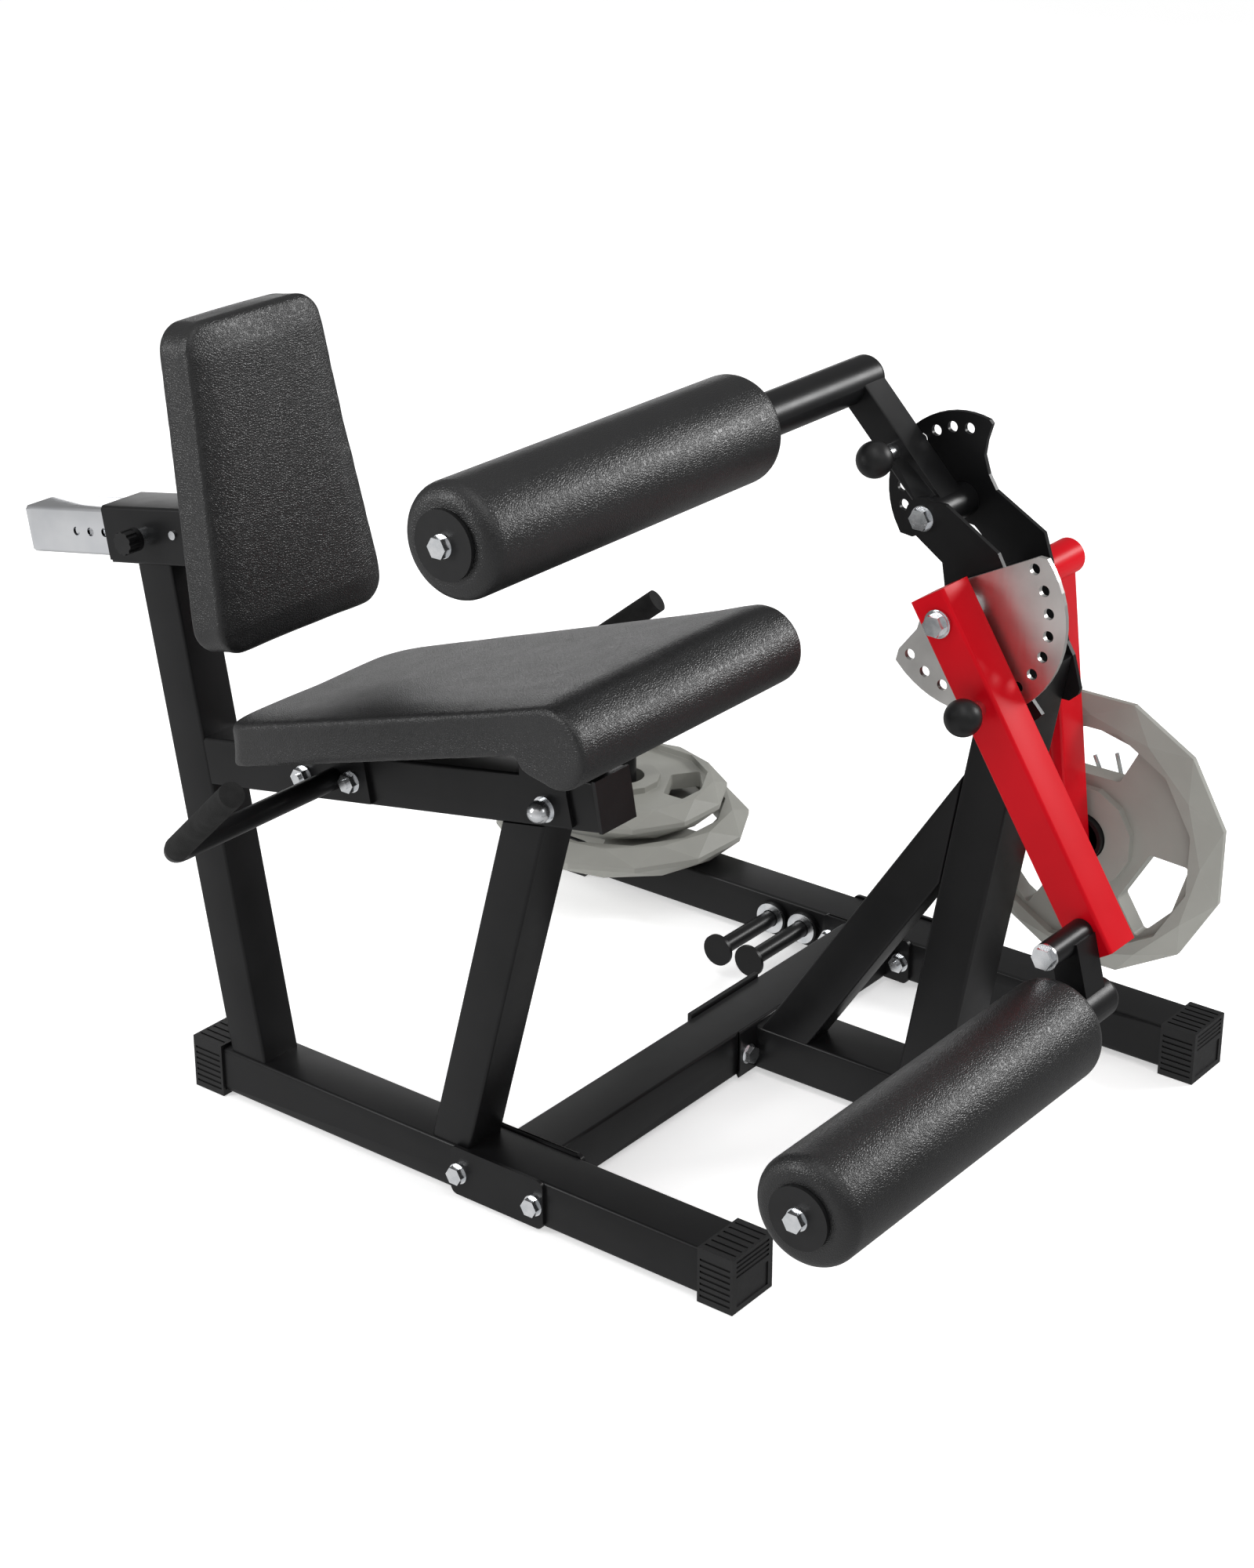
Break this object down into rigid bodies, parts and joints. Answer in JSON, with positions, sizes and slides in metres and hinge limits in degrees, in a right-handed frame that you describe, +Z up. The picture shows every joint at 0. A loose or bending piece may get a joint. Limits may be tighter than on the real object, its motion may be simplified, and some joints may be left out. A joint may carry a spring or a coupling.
{
  "type": "leg extension machine",
  "caption": "Seated leg extension and curl machine: padded seat with sliding backrest, plate-loaded swinging lever with selector disc, pad rollers and a plate storage post.",
  "frame": {"origin": "on the floor, under the middle of the base", "axes": "+X towards the user's feet, +Y to the user's left, +Z up"},
  "size_m": [1.1449, 1.1101, 0.8593],
  "materials": {
    "black_paint": "satin",
    "red_paint": "gloss",
    "bare_steel": "satin",
    "zinc": "gloss",
    "bright_chrome": "polished",
    "black_plastic": "satin",
    "black_rubber": "matte",
    "leatherette": "satin",
    "plate_grey": "matte"
  },
  "bodies": {
    "frame": {"near_base_tube": "black_paint", "far_base_tube": "black_paint", "foot_caps": "black_plastic", "cross_tube": "black_paint", "clamp_plates": "black_paint", "base_bolts": "zinc", "base_nuts": "zinc", "tower_foot_tube": "black_paint", "rear_post": "black_paint", "front_post": "black_paint", "seat_tube": "black_paint", "seat_tube_cap": "black_plastic", "seat_bracket_rear": "black_paint", "seat_bracket_front": "black_paint", "seat_pad": "leatherette", "receiver": "black_paint", "seat_frame_fasteners": "zinc", "handle_tube_left": "black_paint", "handle_tube_right": "black_paint", "grip_left": "black_rubber", "grip_right": "black_rubber", "handle_plates": "black_paint", "tower": "black_paint", "tower_brace": "black_paint", "head_plate_near": "black_paint", "head_plate_far": "black_paint", "storage_post": "black_paint", "band_pegs": "black_paint", "peg_washers": "zinc", "upper_pivot_bolt": "zinc"},
    "backrest": {"adjusting_tube": "bright_chrome", "backrest_plate": "black_paint", "backrest_pad": "leatherette"},
    "receiver_pin": {"receiver_pin": "zinc", "receiver_pin_knob": "black_plastic"},
    "lever": {"main_axle": "zinc", "selector_disc": "bare_steel", "weight_arm": "red_paint", "weight_horn": "black_paint", "roller_arm_pivot_bolt": "zinc"},
    "roller_arm": {"roller_arm": "red_paint", "link_bolt": "zinc"},
    "roller_arm_pin": {"roller_arm_pin": "zinc", "roller_arm_pin_knob": "black_plastic"},
    "link": {"link_bar": "black_paint", "lower_roller_shaft": "black_paint", "lower_roller_end": "black_plastic", "lower_roller_bolt": "zinc"},
    "lower_roller": {"lower_roller_pad": "leatherette"},
    "upper_arm": {"upper_arm": "black_paint", "upper_roller_shaft": "black_paint", "upper_roller_end": "black_plastic", "upper_roller_bolt": "zinc"},
    "upper_roller": {"upper_roller_pad": "leatherette"},
    "upper_arm_pin": {"upper_arm_pin": "zinc", "upper_arm_pin_knob": "black_plastic"},
    "loaded_plate": {"loaded_plate": "plate_grey", "spring_collar": "zinc"},
    "stored_plates": {"stored_plate_lower": "plate_grey", "stored_plate_upper": "plate_grey"}
  },
  "joints": [
    {"name": "backrest_slide", "type": "slide", "parent": "frame", "child": "backrest", "axis": [0.9848, 0, 0.1736], "range_m": [-0.042, 0.105]},
    {"name": "receiver_pin_pull", "type": "slide", "parent": "frame", "child": "receiver_pin", "axis": [0, -1, 0], "range_m": [0, 0.008], "stiffness_N_per_m": 600, "springref_m": -0.004},
    {"name": "lever_swing", "type": "hinge", "parent": "frame", "child": "lever", "pos_m": [0.353, 0, 0.594], "axis": [0, -1, 0], "range_deg": [0, 80]},
    {"name": "roller_arm_set", "type": "hinge", "parent": "lever", "child": "roller_arm", "pos_m": [0.353, 0, 0.594], "axis": [0, -1, 0], "range_deg": [-14.43, 28.86]},
    {"name": "roller_arm_pin_pull", "type": "slide", "parent": "roller_arm", "child": "roller_arm_pin", "axis": [0, -1, 0], "range_m": [0, 0.008], "stiffness_N_per_m": 600, "springref_m": -0.004},
    {"name": "link_swing", "type": "hinge", "parent": "roller_arm", "child": "link", "pos_m": [0.52325, 0, 0.32779], "axis": [0, -1, 0], "range_deg": [-35, 35]},
    {"name": "lower_roller_spin", "type": "hinge", "parent": "link", "child": "lower_roller", "pos_m": [0.541, 0, 0.262], "axis": [0, 1, 0], "continuous": true},
    {"name": "upper_arm_set", "type": "hinge", "parent": "frame", "child": "upper_arm", "pos_m": [0.29, 0, 0.6654], "axis": [0, -1, 0], "range_deg": [-46.5, 46.5]},
    {"name": "upper_roller_spin", "type": "hinge", "parent": "upper_arm", "child": "upper_roller", "pos_m": [0.184, 0, 0.772], "axis": [0, 1, 0], "continuous": true},
    {"name": "upper_arm_pin_pull", "type": "slide", "parent": "upper_arm", "child": "upper_arm_pin", "axis": [0, -1, 0], "range_m": [0, 0.008], "stiffness_N_per_m": 600, "springref_m": -0.004},
    {"name": "plate_slide", "type": "slide", "parent": "lever", "child": "loaded_plate", "axis": [0, 1, 0], "range_m": [0, 0.06]},
    {"name": "stored_plates_lift", "type": "slide", "parent": "frame", "child": "stored_plates", "axis": [0, 0, 1], "range_m": [0, 0.08]}
  ]
}
